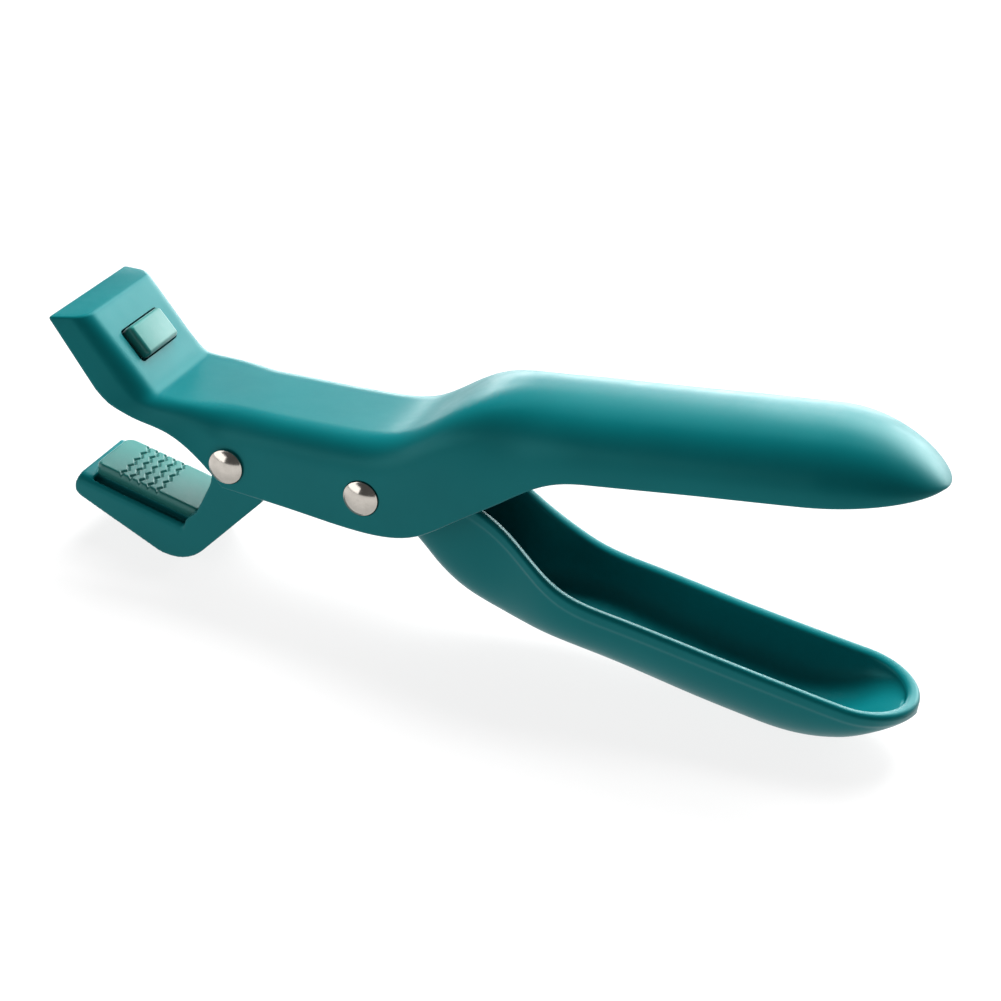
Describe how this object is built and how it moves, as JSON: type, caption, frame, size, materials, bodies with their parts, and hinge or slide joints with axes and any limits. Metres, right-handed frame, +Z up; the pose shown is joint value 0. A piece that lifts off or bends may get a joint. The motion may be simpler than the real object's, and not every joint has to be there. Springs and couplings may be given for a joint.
{
  "type": "jar lifter",
  "caption": "Hand-squeezed jar lifter with geared jaws: squeezing the handles closes a padded lower jaw onto a padded upper jaw to grip a hot jar, lid or bowl by its rim.",
  "frame": {"origin": "on the surface the tool stands on, under the middle of its overall length and width", "axes": "+X from the jaws to the ends of the handles, Y across the tool along the rivets, +Z up with the tool resting on its lower jaw and lower handle"},
  "size_m": [0.2098, 0.039, 0.0767],
  "materials": {
    "handle_plastic": "satin moulded nylon, teal",
    "silicone_pad": "soft satin silicone, teal",
    "nickel_rivet": "polished nickel plate",
    "spring_steel": "drawn spring wire"
  },
  "bodies": {
    "root": {"upper_body": "handle_plastic", "upper_jaw_pad": "silicone_pad", "front_rivet": "nickel_rivet", "front_rivet_cap": "nickel_rivet", "rear_rivet": "nickel_rivet", "rear_rivet_cap": "nickel_rivet", "torsion_spring": "spring_steel"},
    "squeeze_lever": {"lower_handle": "handle_plastic"},
    "moving_jaw": {"lower_jaw": "handle_plastic", "lower_jaw_pad": "silicone_pad"}
  },
  "joints": [
    {"name": "handle_pivot", "type": "hinge", "parent": "root", "child": "squeeze_lever", "pos_m": [-0.02446, 0, 0.03409], "axis": [0, -1, 0], "range_deg": [0, 21.5], "stiffness_Nm_per_rad": 0.3, "springref_deg": -22.92, "deforming": ["torsion_spring"]},
    {"name": "jaw_pivot", "type": "hinge", "parent": "root", "child": "moving_jaw", "pos_m": [-0.058, 0, 0.0321], "axis": [0, -1, 0], "range_deg": [-38.7, 0]}
  ],
  "couplings": [
    {"joint": "jaw_pivot", "follows": "handle_pivot", "ratio": -1.8}
  ]
}
